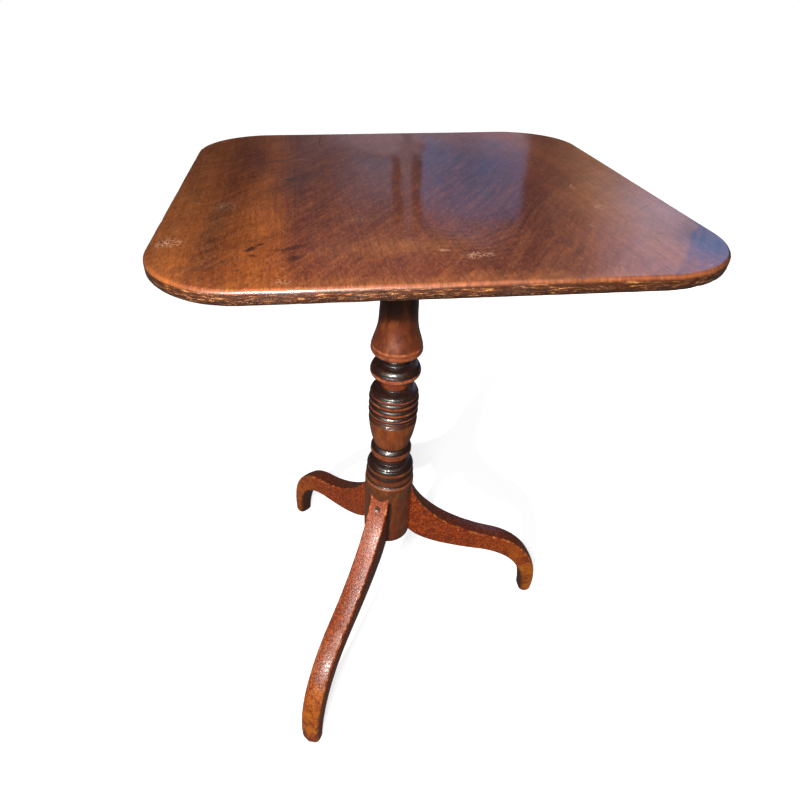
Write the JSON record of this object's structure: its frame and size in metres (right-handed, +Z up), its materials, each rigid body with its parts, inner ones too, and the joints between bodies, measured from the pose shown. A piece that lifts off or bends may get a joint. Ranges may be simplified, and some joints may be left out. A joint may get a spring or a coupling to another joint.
{
  "type": "tilt top table",
  "caption": "Square tilt-top table with round corners, turned pillar and swept tripod legs; the top tips to vertical and a spring catch holds it flat.",
  "frame": {"origin": "on the floor, below the middle of the whole table's outline; the pillar's axis stands 27.25 mm to the -X side of it, because the right foot reaches past the top, and 2.9 mm to the +Y side, because the back leg is 2.5 degrees off the even third", "axes": "+Z up; X points towards the single right foot and runs along the bearers, with the pivot on the +X side of the block and the catch on its -X side; Y runs along the grain of the top"},
  "size_m": [0.5016, 0.4898, 0.725],
  "materials": {
    "top_mahogany": "old french polish, glossy, worn golden at the edge",
    "pillar_mahogany": "glossy polish with dark wax in the turned grooves",
    "leg_mahogany": "glossy red polish, speckled wear",
    "underside_mahogany": "unpolished, dry, dusty",
    "wedge_wood": "unpolished end grain",
    "brass": "dull aged brass",
    "iron": "dark forged iron with light rust",
    "screw_steel": "dull hand-cut steel screws",
    "spring_steel": "wire"
  },
  "bodies": {
    "stand": {"pillar": "pillar_mahogany", "leg_front": "leg_mahogany", "leg_right": "leg_mahogany", "leg_back": "leg_mahogany", "leg_nail": "iron", "brace_plate": "iron", "brace_nails": "iron", "tilt_block": "underside_mahogany", "tenon_wedges": "wedge_wood", "strike_plate": "brass", "strike_screws": "brass"},
    "top": {"table_top": "top_mahogany", "bearer_back": "underside_mahogany", "bearer_front": "underside_mahogany", "bearer_screws_back": "screw_steel", "bearer_screws_front": "screw_steel", "catch_plate": "brass", "catch_case": "brass", "catch_screws": "brass", "catch_spring": "spring_steel"},
    "bolt": {"catch_bolt": "brass", "catch_knob": "brass"}
  },
  "joints": [
    {"name": "top_tilt", "type": "hinge", "parent": "stand", "child": "top", "pos_m": [0.02475, 0.00288, 0.699], "axis": [0, 1, 0], "range_deg": [0, 90]},
    {"name": "bolt_draw", "type": "slide", "parent": "top", "child": "bolt", "axis": [-1, 0, 0], "range_m": [0, 0.0075], "stiffness_N_per_m": 400, "springref_m": -0.006, "deforming": ["catch_spring"]}
  ]
}
